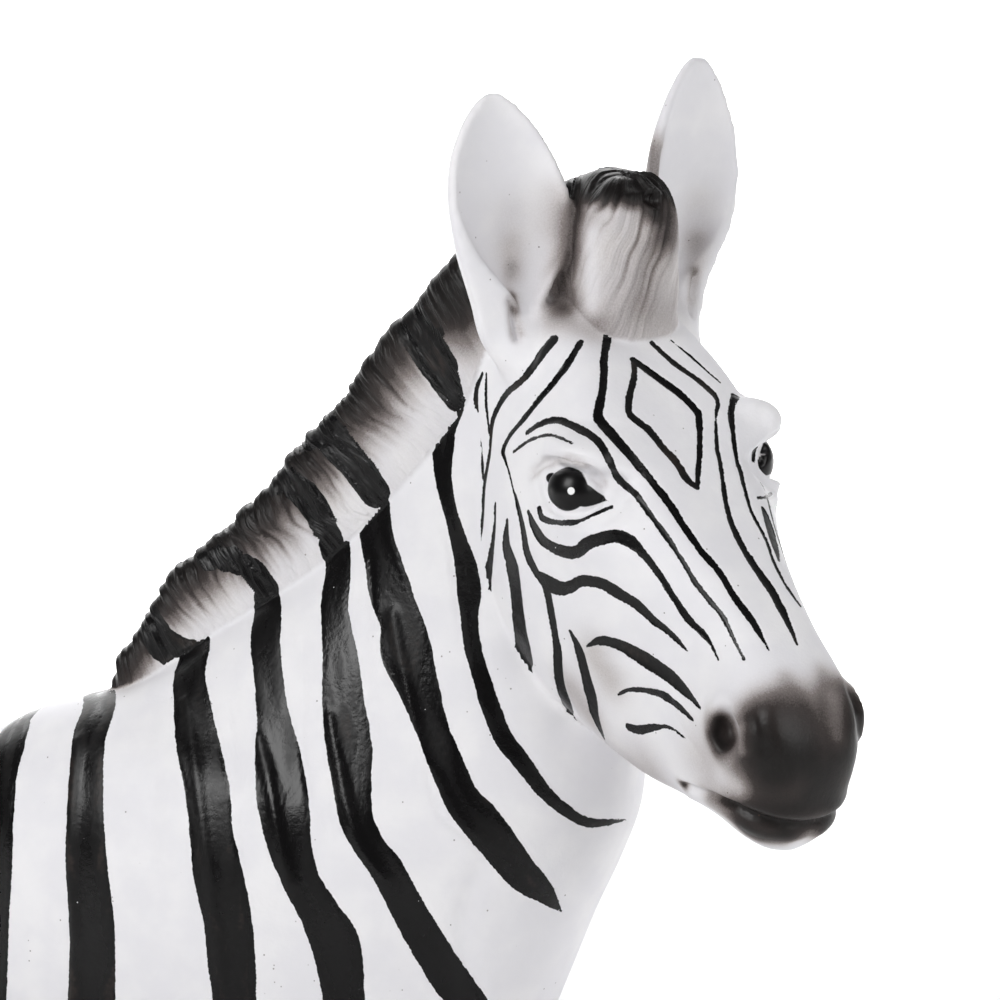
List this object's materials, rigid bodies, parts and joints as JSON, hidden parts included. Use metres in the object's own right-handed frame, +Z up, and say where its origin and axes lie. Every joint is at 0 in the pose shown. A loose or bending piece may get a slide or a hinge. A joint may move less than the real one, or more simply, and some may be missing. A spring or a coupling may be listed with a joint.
{
  "type": "zebra bust",
  "caption": "Zebra bust of cast, painted resin: head turned to its right over the neck and shoulder, upright ears and mane, painted stripes, cut flat below to stand on its own",
  "frame": {"origin": "on the flat underside, below the base of the neck and on the body's middle line", "axes": "+X is the way the body faces, +Y is the animal's left, +Z is up"},
  "size_m": [0.1687, 0.0837, 0.1628],
  "materials": {
    "painted_resin": "matt white paint with glossy black stripes"
  },
  "bodies": {
    "root": {"zebra_bust": "painted_resin"}
  },
  "joints": []
}
